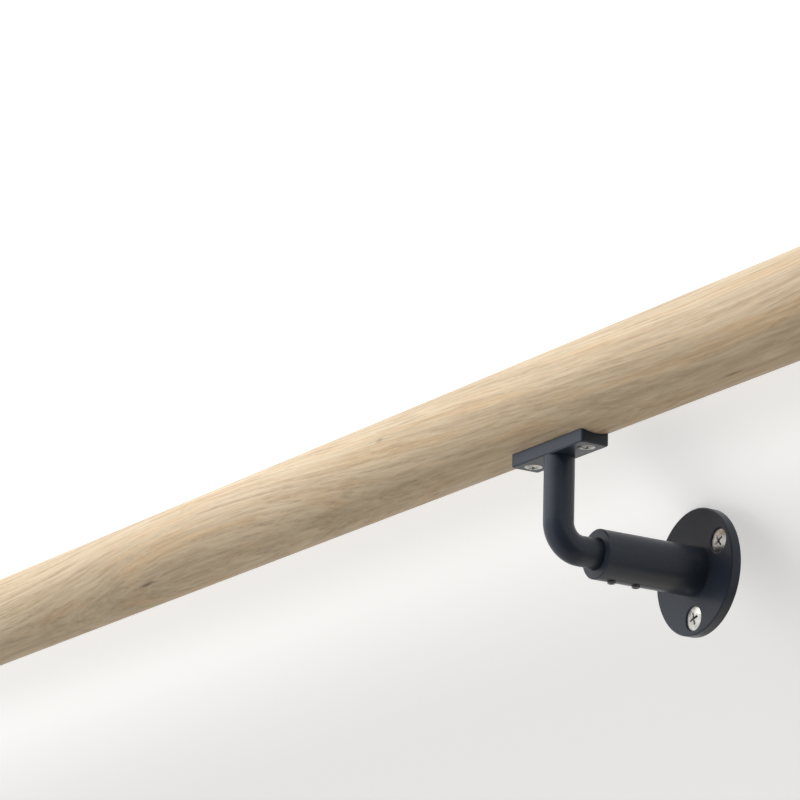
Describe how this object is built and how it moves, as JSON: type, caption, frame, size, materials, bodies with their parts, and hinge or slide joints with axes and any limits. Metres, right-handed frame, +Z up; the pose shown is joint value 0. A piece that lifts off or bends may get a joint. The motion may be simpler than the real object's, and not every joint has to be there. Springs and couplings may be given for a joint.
{
  "type": "stair handrail length",
  "caption": "Round oak stair handrail length with coated steel wall brackets: saddle, bent arm, clamping sleeve and round flange.",
  "frame": {"origin": "middle of the footprint, on the floor that the loose assembly lies on", "axes": "+X along the rail; +Z up from the floor; the wall flanges lie on the -Y side. On a wall, the rail's own up is turned 139.1 degrees about X from this"},
  "size_m": [1.5, 0.1481, 0.0772],
  "materials": {
    "oak": "matte",
    "bracket_coating": "satin",
    "screw_steel": "satin",
    "set_screw_steel": "satin"
  },
  "bodies": {
    "root": {"handrail": "oak", "left_saddle_plate": "bracket_coating", "left_saddle_screw_1": "screw_steel", "left_saddle_screw_2": "screw_steel", "left_support_arm": "bracket_coating", "left_wall_sleeve": "bracket_coating", "left_set_screw_1": "set_screw_steel", "left_set_screw_2": "set_screw_steel", "left_wall_flange": "bracket_coating", "right_saddle_plate": "bracket_coating", "right_saddle_screw_1": "screw_steel", "right_saddle_screw_2": "screw_steel", "right_support_arm": "bracket_coating", "right_wall_sleeve": "bracket_coating", "right_set_screw_1": "set_screw_steel", "right_set_screw_2": "set_screw_steel", "right_wall_flange": "bracket_coating"}
  },
  "joints": []
}
